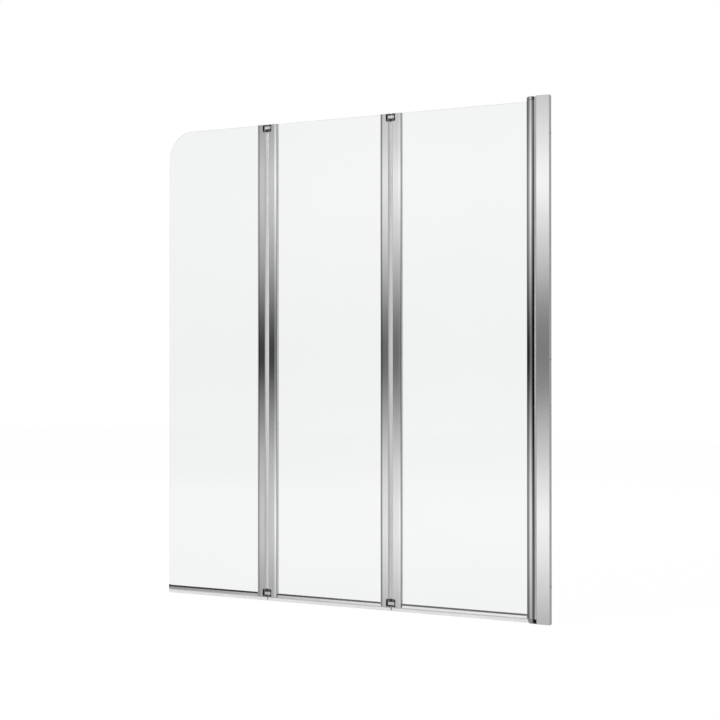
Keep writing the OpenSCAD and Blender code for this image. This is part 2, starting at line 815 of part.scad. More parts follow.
wall_channel();
channel_top_cap();
jamb_profile();
jamb_seal();
top_bracket();
top_pivot_cap();
cap_nose_strip();
bottom_bracket();
bottom_pivot_boss();
pivot_pins();
clamp_screws();
pivot_profile();
pivot_nose_strip();
pivot_bushes();
inner_glass();
inner_gaskets();
inner_hinge_profile();
inner_hinge_blocks();
inner_nose_seal();
inner_seal_lips();
inner_seal_clip();
inner_seal_fins();
inner_link_bars();
inner_link_pins();
inner_link_washers();
middle_glass();
middle_gaskets();
middle_wallside_profile();
middle_wallside_blocks();
middle_wallside_nose();
middle_freeside_profile();
middle_freeside_blocks();
middle_freeside_nose();
middle_seal_lips();
middle_seal_clip();
middle_seal_fins();
outer_link_bars();
outer_link_pins();
outer_link_washers();
outer_glass();
outer_gasket();
outer_hinge_profile();
outer_hinge_blocks();
outer_nose_seal();
outer_seal_lips();
outer_seal_clip();
outer_seal_fins();
outer_seal_end_cap();
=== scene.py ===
import math
import bpy
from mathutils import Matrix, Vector


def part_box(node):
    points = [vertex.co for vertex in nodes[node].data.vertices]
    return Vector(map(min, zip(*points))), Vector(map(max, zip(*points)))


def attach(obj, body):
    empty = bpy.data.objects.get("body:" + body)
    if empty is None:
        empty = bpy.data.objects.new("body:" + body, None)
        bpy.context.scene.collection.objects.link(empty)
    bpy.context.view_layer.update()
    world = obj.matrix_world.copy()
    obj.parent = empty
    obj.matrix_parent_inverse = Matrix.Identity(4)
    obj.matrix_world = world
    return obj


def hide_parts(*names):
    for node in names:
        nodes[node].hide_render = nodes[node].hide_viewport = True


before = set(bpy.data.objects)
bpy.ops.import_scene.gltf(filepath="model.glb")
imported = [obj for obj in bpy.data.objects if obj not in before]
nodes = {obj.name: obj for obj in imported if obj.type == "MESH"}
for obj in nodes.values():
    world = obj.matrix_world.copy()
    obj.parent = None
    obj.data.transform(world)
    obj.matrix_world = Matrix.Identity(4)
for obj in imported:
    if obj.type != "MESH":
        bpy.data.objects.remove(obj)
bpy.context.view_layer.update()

mm = 0.001
print("frame loaded with", len(nodes), "nodes")


# small tools for the modelling below

edgeFinish = {"sharperThan": 30, "smoothUnder": 50, "faceWeight": 100}
cadMesh = {"mergeWithin": 0.002 * mm, "flatWithin": 0.5}


def clearSelection():
    if bpy.context.object is not None and bpy.context.object.mode != "OBJECT":
        bpy.ops.object.mode_set(mode="OBJECT")
    bpy.ops.object.select_all(action="DESELECT")


def pickOnly(piece):
    clearSelection()
    piece.select_set(True)
    bpy.context.view_layer.objects.active = piece


def addBox(name, low, high):
    clearSelection()
    bpy.ops.mesh.primitive_cube_add(size=1, location=[(a + b) / 2 for a, b in zip(low, high)],
                                    scale=[b - a for a, b in zip(low, high)])
    piece = bpy.context.object
    piece.name = name
    bpy.ops.object.transform_apply(location=True, rotation=True, scale=True)
    return piece


def addRod(name, radius, x, y, foot, top, sides=48):
    clearSelection()
    bpy.ops.mesh.primitive_cylinder_add(vertices=sides, radius=radius, depth=top - foot,
                                        location=(x, y, (foot + top) / 2))
    piece = bpy.context.object
    piece.name = name
    bpy.ops.object.transform_apply(location=True, rotation=True, scale=True)
    return piece


def tracePrism(name, outline, start, end, along):
    # an outline in millimetres traced edge by edge, closed, and pulled along x or z
    def place(point):
        u, v = point[0] * mm, point[1] * mm
        return Vector((u, v, start)) if along == "z" else Vector((start, u, v))
    clearSelection()
    bpy.ops.mesh.primitive_plane_add(size=mm, location=place(outline[0]))
    piece = bpy.context.object
    piece.name = name
    bpy.ops.object.mode_set(mode="EDIT")
    bpy.ops.mesh.select_mode(type="VERT")
    bpy.ops.mesh.select_all(action="SELECT")
    bpy.ops.mesh.merge(type="CENTER")
    for here, there in zip(outline, outline[1:]):
        bpy.ops.mesh.extrude_region_move(TRANSFORM_OT_translate={"value": place(there) - place(here)})
    bpy.ops.mesh.select_all(action="SELECT")
    bpy.ops.mesh.edge_face_add()
    length = Vector((0, 0, end - start)) if along == "z" else Vector((end - start, 0, 0))
    bpy.ops.mesh.extrude_region_move(TRANSFORM_OT_translate={"value": length})
    bpy.ops.mesh.select_all(action="SELECT")
    bpy.ops.mesh.normals_make_consistent(inside=False)
    bpy.ops.object.mode_set(mode="OBJECT")
    bpy.ops.object.transform_apply(location=True, rotation=True, scale=True)
    return piece


def withMirror(side):
    # one side of an outline, closed by its mirror image in the second coordinate
    return side + [(u, -v) for u, v in reversed(side)]


def acrossMirror(side):
    # the same with the mirror in the first coordinate
    return side + [(-u, v) for u, v in reversed(side)]


def roundOff(piece, wanted, radius, steps):
    # bevels the edges whose two ends pass the test
    pickOnly(piece)
    bpy.ops.object.mode_set(mode="EDIT")
    bpy.ops.mesh.select_mode(type="EDGE")
    bpy.ops.mesh.select_all(action="DESELECT")
    bpy.ops.object.mode_set(mode="OBJECT")
    for edge in piece.data.edges:
        edge.select = wanted(*[piece.data.vertices[index].co for index in edge.vertices])
    bpy.ops.object.mode_set(mode="EDIT")
    bpy.ops.mesh.bevel(offset=radius, segments=steps, clamp_overlap=False)
    bpy.ops.object.mode_set(mode="OBJECT")
    return piece


def softenEdges(piece, width, segments=2):
    # a small bevel on each sharp edge, with flat faces that stay flat in their reflections
    pickOnly(piece)
    bpy.ops.object.modifier_add(type="BEVEL")
    bevel = piece.modifiers[-1]
    bevel.width = width
    bevel.segments = segments
    bevel.limit_method = "ANGLE"
    bevel.angle_limit = math.radians(edgeFinish["sharperThan"])
    bpy.ops.object.modifier_apply(modifier=bevel.name)
    bpy.ops.object.shade_smooth_by_angle(angle=math.radians(edgeFinish["smoothUnder"]))
    bpy.ops.object.modifier_add(type="WEIGHTED_NORMAL")
    weighted = piece.modifiers[-1]
    weighted.keep_sharp = True
    weighted.weight = edgeFinish["faceWeight"]
    bpy.ops.object.modifier_apply(modifier=weighted.name)
    return piece


def cutWith(piece, cutter):
    pickOnly(piece)
    bpy.ops.object.modifier_add(type="BOOLEAN")
    cut = piece.modifiers[-1]
    cut.operation = "DIFFERENCE"
    cut.solver = "EXACT"
    cut.object = cutter
    bpy.ops.object.modifier_apply(modifier=cut.name)
    bpy.data.objects.remove(cutter)
    return piece


def joinPieces(name, parts):
    clearSelection()
    for part in parts:
        part.select_set(True)
    bpy.context.view_layer.objects.active = parts[0]
    bpy.ops.object.join()
    parts[0].name = name
    return parts[0]


def flipCopy(piece, name, middle):
    # a copy turned upside down about a height, as the top end of a column is
    pickOnly(piece)
    bpy.ops.object.duplicate()
    copy = bpy.context.object
    copy.name = name
    copy.scale = (1, 1, -1)
    copy.location = (0, 0, 2 * middle)
    bpy.ops.object.transform_apply(location=True, rotation=True, scale=True)
    bpy.ops.object.mode_set(mode="EDIT")
    bpy.ops.mesh.select_all(action="SELECT")
    bpy.ops.mesh.normals_make_consistent(inside=False)
    bpy.ops.object.mode_set(mode="OBJECT")
    return copy


def refineNode(node, name, width, segments=2):
    # the CAD shape again, with its loose triangles merged and its edges broken
    piece = bpy.data.objects.new(name, nodes[node].data.copy())
    bpy.context.scene.collection.objects.link(piece)
    pickOnly(piece)
    bpy.ops.object.mode_set(mode="EDIT")
    bpy.ops.mesh.select_all(action="SELECT")
    bpy.ops.mesh.remove_doubles(threshold=cadMesh["mergeWithin"])
    bpy.ops.mesh.dissolve_limited(angle_limit=math.radians(cadMesh["flatWithin"]))
    bpy.ops.object.mode_set(mode="OBJECT")
    return softenEdges(piece, width, segments)


def dress(piece, body, finishes, standsFor):
    piece.data.materials.clear()
    for finish in finishes:
        piece.data.materials.append(finish)
    piece.data.name = piece.name
    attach(piece, body)
    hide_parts(*standsFor)
    return piece


# materials; some follow the fold columns, whose middles and ends are in millimetres

columns = {"inner": -461, "outer": -857, "foot": 13.5, "top": 1387}


def startFinish(name):
    finish = bpy.data.materials.new(name)
    finish.use_nodes = True
    tree = finish.node_tree
    shader = tree.nodes["Principled BSDF"]
    place = tree.nodes.new("ShaderNodeTexCoord")
    return finish, tree, shader, place


def speckle(tree, place, scale, stretch=(1, 1, 1), detail=4):
    # noise on the piece's own coordinates, stretched where the grain runs one way
    mapping = tree.nodes.new("ShaderNodeMapping")
    mapping.inputs["Scale"].default_value = stretch
    noise = tree.nodes.new("ShaderNodeTexNoise")
    noise.inputs["Scale"].default_value = scale
    noise.inputs["Detail"].default_value = detail
    tree.links.new(place.outputs["Object"], mapping.inputs["Vector"])
    tree.links.new(mapping.outputs["Vector"], noise.inputs["Vector"])
    return noise.outputs["Fac"]


def coordinate(tree, place, axis):
    parts = tree.nodes.new("ShaderNodeSeparateXYZ")
    tree.links.new(place.outputs["Object"], parts.inputs["Vector"])
    return parts.outputs[axis]


def combine(tree, kind, first, second=None):
    # a Math node fed by outputs or plain numbers
    node = tree.nodes.new("ShaderNodeMath")
    node.operation = kind
    for socket, value in zip(node.inputs, (first, second)):
        if isinstance(value, (int, float)):
            socket.default_value = value
        elif value is not None:
            tree.links.new(value, socket)
    return node.outputs["Value"]


def fromColumns(tree, place):
    # distance from the middle of the nearer fold column
    across = coordinate(tree, place, "X")
    offsets = [combine(tree, "ABSOLUTE", combine(tree, "SUBTRACT", across, columns[column] * mm))
               for column in ("inner", "outer")]
    return combine(tree, "MINIMUM", *offsets)


def spread(tree, factor, low, high):
    # nought to one becomes low to high
    mapRange = tree.nodes.new("ShaderNodeMapRange")
    mapRange.inputs["To Min"].default_value = low
    mapRange.inputs["To Max"].default_value = high
    tree.links.new(factor, mapRange.inputs["Value"])
    return mapRange.outputs["Result"]


def between(tree, value, lowest, highest):
    # nought at the lowest value, one at the highest
    mapRange = tree.nodes.new("ShaderNodeMapRange")
    mapRange.inputs["From Min"].default_value = lowest
    mapRange.inputs["From Max"].default_value = highest
    tree.links.new(value, mapRange.inputs["Value"])
    return mapRange.outputs["Result"]


def shades(tree, factor, stops):
    ramp = tree.nodes.new("ShaderNodeValToRGB")
    ramp.color_ramp.elements.remove(ramp.color_ramp.elements[1])
    for index, (position, colour) in enumerate(stops):
        stop = ramp.color_ramp.elements[0] if index == 0 else ramp.color_ramp.elements.new(position)
        stop.position = position
        stop.color = (*colour, 1)
    tree.links.new(factor, ramp.inputs["Fac"])
    return ramp.outputs["Color"]


def mottled(tree, noise, dark, light):
    # two colours in soft patches
    return shades(tree, noise, [(0.3, dark), (0.7, light)])


def greyBy(tree, value, stops):
    # a grey that follows a value, from stops of a value and its grey
    lowest, highest = stops[0][0], stops[-1][0]
    greys = [((at - lowest) / (highest - lowest), (grey,) * 3) for at, grey in stops]
    return shades(tree, between(tree, value, lowest, highest), greys)


def multiplied(tree, first, second):
    mix = tree.nodes.new("ShaderNodeMix")
    mix.data_type = "RGBA"
    mix.blend_type = "MULTIPLY"
    mix.inputs["Factor"].default_value = 1
    tree.links.new(first, mix.inputs["A"])
    tree.links.new(second, mix.inputs["B"])
    return mix.outputs["Result"]


def addBump(tree, shader, factor, strength, depth):
    bump = tree.nodes.new("ShaderNodeBump")
    bump.inputs["Strength"].default_value = strength
    bump.inputs["Distance"].default_value = depth
    tree.links.new(factor, bump.inputs["Height"])
    tree.links.new(bump.outputs["Normal"], shader.inputs["Normal"])


chromeLook = {"dark": (0.81,) * 3, "light": (0.865,) * 3, "smooth": 0.045, "dull": 0.10, "haze": 6,
              "lines": {"scale": 40, "stretch": (30, 30, 0.4), "detail": 3},
              "relief": {"strength": 0.06, "depth": 0.02 * mm}}


def polishedChrome():
    # painted shade: the front lips of the fold profiles end darker than their faces, by the gaskets, from
    # 31.4 mm out
    look = {"lipEnd": 0.3, "flat": 31.4 * mm, "shadeFrom": 31.48 * mm, "shadeTo": 33 * mm, "beyond": 33.3 * mm}
    finish, tree, shader, place = startFinish("polishedChrome")
    drawn = speckle(tree, place, **chromeLook["lines"])   # faint die lines up the profile
    haze = speckle(tree, place, chromeLook["haze"])
    # painted shade on the front lip ends beside the gaskets; the back stays plain chrome
    paintedLipShade = greyBy(tree, fromColumns(tree, place), [(look["flat"], 1), (look["shadeFrom"], look["lipEnd"]),
                                                      (look["shadeTo"], look["lipEnd"]), (look["beyond"], 1)])
    atBack = combine(tree, "GREATER_THAN", coordinate(tree, place, "Y"), 0)
    colour = multiplied(tree, mottled(tree, haze, chromeLook["dark"], chromeLook["light"]),
                        combine(tree, "MAXIMUM", paintedLipShade, atBack))
    tree.links.new(colour, shader.inputs["Base Color"])
    tree.links.new(spread(tree, drawn, chromeLook["smooth"], chromeLook["dull"]), shader.inputs["Roughness"])
    shader.inputs["Metallic"].default_value = 1
    addBump(tree, shader, drawn, **chromeLook["relief"])
    return finish


def channelChrome():
    # chrome outside, bare grey metal on the face that lies against the wall
    look = {"bare": (0.85, 0.85, 0.85), "bareSmooth": 0.35, "bareDull": 0.5, "bareMetal": 0.5,
            "wallFace": -0.05 * mm}
    finish, tree, shader, place = startFinish("channelChrome")
    drawn = speckle(tree, place, **chromeLook["lines"])
    haze = speckle(tree, place, chromeLook["haze"])
    onWall = combine(tree, "GREATER_THAN", coordinate(tree, place, "X"), look["wallFace"])
    colour = tree.nodes.new("ShaderNodeMix")
    colour.data_type = "RGBA"
    tree.links.new(onWall, colour.inputs["Factor"])
    tree.links.new(mottled(tree, haze, chromeLook["dark"], chromeLook["light"]), colour.inputs["A"])
    colour.inputs["B"].default_value = (*look["bare"], 1)
    tree.links.new(colour.outputs["Result"], shader.inputs["Base Color"])
    rough = tree.nodes.new("ShaderNodeMix")
    tree.links.new(onWall, rough.inputs["Factor"])
    tree.links.new(spread(tree, drawn, chromeLook["smooth"], chromeLook["dull"]), rough.inputs["A"])
    tree.links.new(spread(tree, haze, look["bareSmooth"], look["bareDull"]), rough.inputs["B"])
    tree.links.new(rough.outputs["Result"], shader.inputs["Roughness"])
    tree.links.new(spread(tree, onWall, 1, look["bareMetal"]), shader.inputs["Metallic"])
    addBump(tree, shader, drawn, **chromeLook["relief"])
    return finish


def clearGlass():
    look = {"clear": (0.915, 0.927, 0.922), "tinted": (0.900, 0.914, 0.908), "ior": 1.5, "dull": 0.006}
    finish, tree, shader, place = startFinish("clearGlass")
    tone = speckle(tree, place, scale=1.3, detail=2)
    ripple = speckle(tree, place, scale=9, detail=1)
    tree.links.new(mottled(tree, tone, look["tinted"], look["clear"]), shader.inputs["Base Color"])
    tree.links.new(spread(tree, ripple, 0, look["dull"]), shader.inputs["Roughness"])
    shader.inputs["Transmission Weight"].default_value = 1
    shader.inputs["IOR"].default_value = look["ior"]
    return finish


def glassEdge():
    # ground glass, with a painted glow on its edges that stands in for light
    look = {"deep": (0.95, 0.975, 0.965), "pale": (0.98, 0.99, 0.985), "ior": 1.5,
            "smooth": 0.02, "dull": 0.05, "light": (0.93, 1, 0.97), "glow": 0.1}
    finish, tree, shader, place = startFinish("glassEdge")
    ground = speckle(tree, place, scale=300, detail=5)
    tree.links.new(mottled(tree, ground, look["deep"], look["pale"]), shader.inputs["Base Color"])
    tree.links.new(spread(tree, ground, look["smooth"], look["dull"]), shader.inputs["Roughness"])
    shader.inputs["Transmission Weight"].default_value = 1
    shader.inputs["IOR"].default_value = look["ior"]
    # the edges glow with painted light; they are no lamp
    shader.inputs["Emission Color"].default_value = (*look["light"], 1)
    shader.inputs["Emission Strength"].default_value = look["glow"]
    addBump(tree, shader, ground, strength=0.1, depth=0.03 * mm)
    return finish


def softPlastic(name, dark, light, smooth, dull, grain, relief, gloss=0.5):
    # moulded and extruded plastics and rubbers differ in tone, gloss and grain
    finish, tree, shader, place = startFinish(name)
    tone = speckle(tree, place, scale=18, stretch=(1, 1, 0.3), detail=3)
    texture = speckle(tree, place, scale=grain, detail=5)
    tree.links.new(mottled(tree, tone, dark, light), shader.inputs["Base Color"])
    tree.links.new(spread(tree, texture, smooth, dull), shader.inputs["Roughness"])
    shader.inputs["Specular IOR Level"].default_value = gloss
    addBump(tree, shader, texture, strength=relief, depth=0.08 * mm)
    return finish


def glazingStrip():
    # pale where it grips the glass, with a painted glow there, and a dark bead outside that is painted shade
    look = {"grip": 0.94, "shadeBead": 0.06, "glow": 0.36, "gripTo": 3.1 * mm, "shadeBeadFrom": 3.25 * mm,
            "smooth": 0.4, "dull": 0.55, "patch": 0.95}
    finish, tree, shader, place = startFinish("glazingStrip")
    texture = speckle(tree, place, scale=900, detail=5)
    tone = speckle(tree, place, scale=18, stretch=(1, 1, 0.3), detail=3)
    depth = combine(tree, "ABSOLUTE", coordinate(tree, place, "Y"))
    # the dark outer bead is painted shade
    shade = greyBy(tree, depth, [(look["gripTo"], look["grip"]), (look["shadeBeadFrom"], look["shadeBead"])])
    colour = multiplied(tree, shade, mottled(tree, tone, (look["patch"],) * 3, (1, 1, 1)))
    # a painted glow where the strip grips the glass; it is no lamp
    paintedGlow = greyBy(tree, depth, [(look["gripTo"], look["glow"]), (look["shadeBeadFrom"], 0)])
    tree.links.new(colour, shader.inputs["Base Color"])
    tree.links.new(spread(tree, texture, look["smooth"], look["dull"]), shader.inputs["Roughness"])
    shader.inputs["Emission Color"].default_value = (1, 1, 1, 1)
    tree.links.new(paintedGlow, shader.inputs["Emission Strength"])
    addBump(tree, shader, texture, strength=0.15, depth=0.08 * mm)
    return finish


def noseRubber():
    # a soft lip with painted light and shade: darker at its profile and paler where it meets the other one,
    # against the crevice's shade
    look = {"atProfile": (0.31, 0.315, 0.32), "atTip": (0.82, 0.825, 0.83), "reach": 7.2 * mm, "smooth": 0.35,
            "dull": 0.5}
    finish, tree, shader, place = startFinish("noseRubber")
    outwards = between(tree, fromColumns(tree, place), 0, look["reach"])
    texture = speckle(tree, place, scale=500, detail=5)
    # painted shade towards the profile, painted light towards the tip
    tree.links.new(shades(tree, outwards, [(0.15, look["atTip"]), (0.9, look["atProfile"])]),
                   shader.inputs["Base Color"])
    tree.links.new(spread(tree, texture, look["smooth"], look["dull"]), shader.inputs["Roughness"])
    addBump(tree, shader, texture, strength=0.1, depth=0.06 * mm)
    return finish


def sealStrip(name, tones, smooth, dull, clear, lines=None, patch=0.95):
    # painted shade darkens the strips under the panes towards the free edge; lines give darker or paler
    # heights
    finish, tree, shader, place = startFinish(name)
    tone = speckle(tree, place, scale=60, stretch=(0.2, 1, 1), detail=3)
    texture = speckle(tree, place, scale=700, stretch=(0.1, 1, 1), detail=4)
    # painted shade along x, darker towards the outer pane
    colour = multiplied(tree, greyBy(tree, coordinate(tree, place, "X"), tones),
                        mottled(tree, tone, (patch,) * 3, (1, 1, 1)))
    if lines:
        heights = greyBy(tree, coordinate(tree, place, "Z"), [(height * mm, grey) for height, grey in lines])
        colour = multiplied(tree, colour, heights)
    tree.links.new(colour, shader.inputs["Base Color"])
    tree.links.new(spread(tree, texture, smooth, dull), shader.inputs["Roughness"])
    shader.inputs["Transmission Weight"].default_value = clear
    addBump(tree, shader, texture, strength=0.1, depth=0.05 * mm)
    return finish


def pivotRubber():
    # black rubber with a painted reflection, pale at both ends of its height and dark towards the middle
    look = {"paintedReflection": [(0, 0.22), (0.19, 0.24), (0.29, 0.20), (0.39, 0.12), (0.49, 0.045), (0.6, 0.006),
                      (0.8, 0.006), (0.9, 0.055), (1.0, 0.13), (1.1, 0.23), (1.2, 0.27), (1.4, 0.28)],
            "patch": 0.9, "smooth": 0.14, "dull": 0.24}
    finish, tree, shader, place = startFinish("pivotRubber")
    tone = speckle(tree, place, scale=30, stretch=(1, 1, 0.3), detail=3)
    texture = speckle(tree, place, scale=1100, detail=5)
    # the pale ends are a painted reflection
    colour = multiplied(tree, greyBy(tree, coordinate(tree, place, "Z"), look["paintedReflection"]),
                        mottled(tree, tone, (look["patch"],) * 3, (1, 1, 1)))
    tree.links.new(colour, shader.inputs["Base Color"])
    tree.links.new(spread(tree, texture, look["smooth"], look["dull"]), shader.inputs["Roughness"])
    addBump(tree, shader, texture, strength=0.05, depth=0.08 * mm)
    return finish


def linkMetal():
    # satin bar whose two ends are darkened with painted shade
    look = {"dark": (0.76, 0.77, 0.78), "light": (0.86, 0.865, 0.87), "metal": 0.75, "smooth": 0.22,
            "dull": 0.34, "endShade": 0.09, "barTo": 9.4 * mm, "endShadeFrom": 10 * mm}
    finish, tree, shader, place = startFinish("linkMetal")
    tone = speckle(tree, place, scale=60)
    turned = speckle(tree, place, scale=700, detail=3)
    # painted shade on both ends of the bar
    paintedEndShade = greyBy(tree, fromColumns(tree, place),
                     [(look["barTo"], 1), (look["endShadeFrom"], look["endShade"])])
    tree.links.new(multiplied(tree, mottled(tree, tone, look["dark"], look["light"]), paintedEndShade),
                   shader.inputs["Base Color"])
    tree.links.new(spread(tree, turned, look["smooth"], look["dull"]), shader.inputs["Roughness"])
    shader.inputs["Metallic"].default_value = look["metal"]
    addBump(tree, shader, turned, strength=0.08, depth=0.04 * mm)
    return finish


def satinMetal(name, dark, light, smooth, dull, stretch):
    finish, tree, shader, place = startFinish(name)
    tone = speckle(tree, place, scale=60)
    turned = speckle(tree, place, scale=700, stretch=stretch, detail=3)
    tree.links.new(mottled(tree, tone, dark, light), shader.inputs["Base Color"])
    tree.links.new(spread(tree, turned, smooth, dull), shader.inputs["Roughness"])
    shader.inputs["Metallic"].default_value = 1
    addBump(tree, shader, turned, strength=0.08, depth=0.04 * mm)
    return finish


chrome = polishedChrome()
wallChrome = channelChrome()
paneGlass = clearGlass()
paneEdge = glassEdge()
gasketPale = glazingStrip()
noseGrey = noseRubber()
sealRubber = pivotRubber()
linkSatin = linkMetal()
blackNylon = softPlastic("blackNylon", dark=(0.004, 0.004, 0.005), light=(0.009, 0.009, 0.01),
                         smooth=0.45, dull=0.6, grain=1400, relief=0.25, gloss=0.15)
greyNylon = softPlastic("greyNylon", dark=(0.075, 0.075, 0.08), light=(0.11, 0.11, 0.115),
                        smooth=0.4, dull=0.55, grain=1400, relief=0.25)
blackRubber = softPlastic("blackRubber", dark=(0.005, 0.005, 0.005), light=(0.012, 0.012, 0.012),
                          smooth=0.14, dull=0.24, grain=1100, relief=0.05, gloss=1.0)
capPale = softPlastic("capPale", dark=(0.66, 0.665, 0.67), light=(0.74, 0.745, 0.75),
                      smooth=0.3, dull=0.42, grain=700, relief=0.12)
# painted shade darkens the lips, clip and fins towards the outer pane
lipDark = sealStrip("lipDark", tones=[(-1.2, 0.02), (-0.95, 0.025), (-0.8, 0.06), (-0.55, 0.12), (0, 0.15)],
                    smooth=0.4, dull=0.55, clear=0)
sealClear = sealStrip("sealClear", tones=[(-1.2, 0.29), (-1.0, 0.39), (-0.8, 0.57), (-0.45, 0.88), (0, 0.97)],
                      smooth=0.12, dull=0.22, clear=0.12)
# the fins' grey line at the rail, 10 to 12 mm up, is painted shade of the groove there
sealFrost = sealStrip("sealFrost", tones=[(-1.2, 0.70), (-0.6, 0.77), (0, 0.85)],
                      smooth=0.3, dull=0.45, clear=0.06,
                      lines=[(0, 1), (9.4, 1), (10.1, 0.66), (11.9, 0.66), (12.5, 0.9), (25, 0.9)])
# the end cap is dark where it closes the lips and grey where it closes the clip
capGrey = sealStrip("capGrey", tones=[(-1.2, 0.70), (0, 0.70)], smooth=0.3, dull=0.42, clear=0,
                    lines=[(0, 1), (12.2, 1), (12.6, 0.38), (18.7, 0.38), (19.1, 0.02), (25, 0.02)])
bossGrey = satinMetal("bossGrey", dark=(0.54, 0.545, 0.55), light=(0.64, 0.645, 0.65),
                      smooth=0.25, dull=0.38, stretch=(1, 1, 0.1))
pinSteel = satinMetal("pinSteel", dark=(0.55, 0.56, 0.57), light=(0.66, 0.67, 0.68),
                      smooth=0.18, dull=0.3, stretch=(1, 1, 0.05))
jambSatin = satinMetal("jambSatin", dark=(0.86, 0.865, 0.87), light=(0.92, 0.925, 0.93),
                       smooth=0.46, dull=0.58, stretch=(30, 30, 0.4))
print("materials made")


# camera at the photograph's angle

shot = {"lens": 68.51, "sensor": 36, "place": (1.138, -3.472, 0.678),
        "tilt": 90.331, "roll": 0.017, "turn": 26.057}
clearSelection()
bpy.ops.object.camera_add(location=shot["place"])
camera = bpy.context.object
camera.name = "camera"
camera.data.lens = shot["lens"]
camera.data.sensor_width = shot["sensor"]
camera.rotation_euler = [math.radians(shot[key]) for key in ("tilt", "roll", "turn")]
bpy.context.scene.camera = camera


# panes: toughened glass with arrissed edges, the free one with a rounded top corner

panes = {"arris": 0.6 * mm, "corner": 80 * mm, "cornerSteps": 28, "near": 0.01 * mm, "flat": 0.95}


def makePane(name, node, body, rounded):
    low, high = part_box(node)

    def atFreeTop(a, b):
        return max(a.x, b.x) < low.x + panes["near"] and min(a.z, b.z) > high.z - panes["near"]

    pane = addBox(name, low, high)
    if rounded:
        roundOff(pane, atFreeTop, panes["corner"], panes["cornerSteps"])
    softenEdges(pane, panes["arris"])
    dress(pane, body, [paneGlass, paneEdge], [node])
    for face in pane.data.polygons:
        face.material_index = 0 if abs(face.normal.y) > panes["flat"] else 1
    return pane


makePane("innerPane", "inner_glass", "inner_panel", False)
makePane("middlePane", "middle_glass", "middle_panel", False)
makePane("outerPane", "outer_glass", "outer_panel", True)
print("panes made")


# fold columns: profiles, soft noses, gaskets, hinge blocks and links

profile = {"edge": 0.22 * mm}
for node, name, body in (("inner_hinge_profile", "innerHingeProfile", "inner_panel"),
                         ("middle_wallside_profile", "middleWallsideProfile", "middle_panel"),
                         ("middle_freeside_profile", "middleFreesideProfile", "middle_panel"),
                         ("outer_hinge_profile", "outerHingeProfile", "outer_panel")):
    dress(refineNode(node, name, profile["edge"]), body, [chrome], [node])

nose = {"pinAt": 9, "radius": 8.7, "wall": 1.3, "plateAt": 7.145, "footOut": 7.0, "footEnd": 9.7, "steps": 22,
        "edge": 0.15 * mm}


def arc(centre, radius, fromDegrees, toDegrees, steps):
    points = []
    for step in range(steps + 1):
        turn = math.radians(fromDegrees + (toDegrees - fromDegrees) * step / steps)
        points.append((centre + radius * math.cos(turn), radius * math.sin(turn)))
    return points


def makeNose(name, node, body, column, side):
    # a hollow half round that faces its neighbour, on a foot in the profile's slot
    footIn = nose["footOut"] - nose["wall"]
    inside = nose["radius"] - nose["wall"]
    openOut = math.degrees(math.acos((nose["plateAt"] - nose["pinAt"]) / nose["radius"]))
    openIn = 180 - math.degrees(math.asin(footIn / inside))
    outline = arc(nose["pinAt"], nose["radius"], openOut, 360 - openOut, nose["steps"])
    outline += [(nose["plateAt"], -nose["footOut"]), (nose["footEnd"], -nose["footOut"]),
                (nose["footEnd"], -footIn)]
    outline += arc(nose["pinAt"], inside, 360 - openIn, openIn, nose["steps"])
    outline += [(nose["footEnd"], footIn), (nose["footEnd"], nose["footOut"]),
                (nose["plateAt"], nose["footOut"])]
    placed = [(columns[column] + side * u, v) for u, v in outline]
    low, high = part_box(node)
    piece = softenEdges(tracePrism(name, placed, low.z, high.z, "z"), nose["edge"])
    return dress(piece, body, [noseGrey], [node])


makeNose("innerNose", "inner_nose_seal", "inner_panel", "inner", 1)
makeNose("middleWallsideNose", "middle_wallside_nose", "middle_panel", "inner", -1)
makeNose("middleFreesideNose", "middle_freeside_nose", "middle_panel", "outer", 1)
makeNose("outerNose", "outer_nose_seal", "outer_panel", "outer", -1)

gasket = {"half": 4.2, "glass": 3.06, "proud": 0.15, "lip": 0.45, "edge": 0.12 * mm,
          "foldSeat": {"seat": 16.7, "mouth": 31.5, "base": 1.2},
          "pivotSeat": {"seat": 57.4, "mouth": 63.5, "base": 0.6}}
gasketLow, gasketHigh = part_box("inner_gaskets")


def makeGasket(name, middle, side, seat, mouth, base):
    # a channel that lines the glass pocket, with a rounded lip at the pocket's mouth
    half, glass, lip = gasket["half"], gasket["glass"], gasket["lip"]
    bulb = half + gasket["proud"]
    outline = withMirror([(seat, -half), (mouth, -half), (mouth, -bulb), (mouth + 0.45 * lip, -bulb),
                          (mouth + 0.85 * lip, -bulb + 0.25), (mouth + lip, -bulb + 0.6),
                          (mouth + lip, -glass), (seat + base, -glass)])
    placed = [(middle + side * u, v) for u, v in outline]
    return softenEdges(tracePrism(name, placed, gasketLow.z, gasketHigh.z, "z"), gasket["edge"])


innerGaskets = joinPieces("innerGaskets", [
    makeGasket("innerFoldGasket", columns["inner"], 1, **gasket["foldSeat"]),
    makeGasket("innerPivotGasket", 0, -1, **gasket["pivotSeat"])])
dress(innerGaskets, "inner_panel", [gasketPale], ["inner_gaskets"])
middleGaskets = joinPieces("middleGaskets", [
    makeGasket("middleWallGasket", columns["inner"], -1, **gasket["foldSeat"]),
    makeGasket("middleFreeGasket", columns["outer"], 1, **gasket["foldSeat"])])
dress(middleGaskets, "middle_panel", [gasketPale], ["middle_gaskets"])
outerGasket = makeGasket("outerGasket", columns["outer"], -1, **gasket["foldSeat"])
dress(outerGasket, "outer_panel", [gasketPale], ["outer_gasket"])

